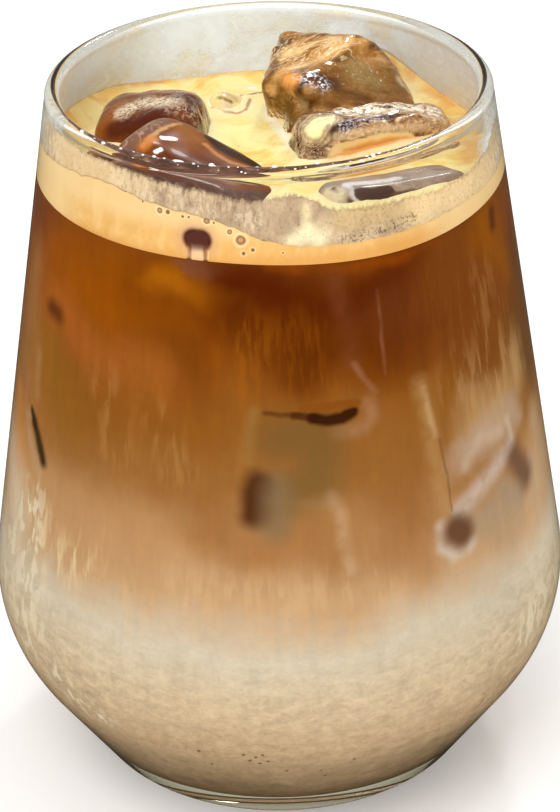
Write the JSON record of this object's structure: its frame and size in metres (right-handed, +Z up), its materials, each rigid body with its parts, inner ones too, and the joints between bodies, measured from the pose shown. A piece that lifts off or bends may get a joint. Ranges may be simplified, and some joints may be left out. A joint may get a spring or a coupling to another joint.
{
  "type": "iced latte in a stemless tumbler",
  "caption": "Iced latte in a clear stemless tumbler: milk at the foot shading up into dark coffee, a pale foam on top and ice standing out of it.",
  "frame": {"origin": "centre of the tumbler's foot, on the surface it stands on", "axes": "+Z up along the axis of the glass, -Y towards the side that the picture shows, +X to that view's right"},
  "size_m": [0.0944, 0.0944, 0.1164],
  "materials": {
    "glass": "clear polished",
    "milk": "milky liquid",
    "latte": "coffee shading into milk",
    "coffee": "dark coffee",
    "foam": "fine cream-coloured foam",
    "ice_amber": "wet ice stained amber",
    "ice_brown": "wet ice, dark brown with frost",
    "ice_milky": "wet ice under milky coffee",
    "ice_speckled": "wet ice speckled with foam",
    "ice_grey": "wet grey-brown ice",
    "ice_foamy": "ice tip coated in foam"
  },
  "bodies": {
    "root": {"glass": "glass", "milk_layer": "milk", "latte_layer": "latte", "coffee_layer": "coffee", "foam_layer": "foam", "ice_tall": "ice_amber", "ice_back_left": "ice_brown", "ice_front_left": "ice_milky", "ice_right": "ice_speckled", "ice_front_right": "ice_grey", "ice_tip": "ice_foamy"}
  },
  "joints": []
}
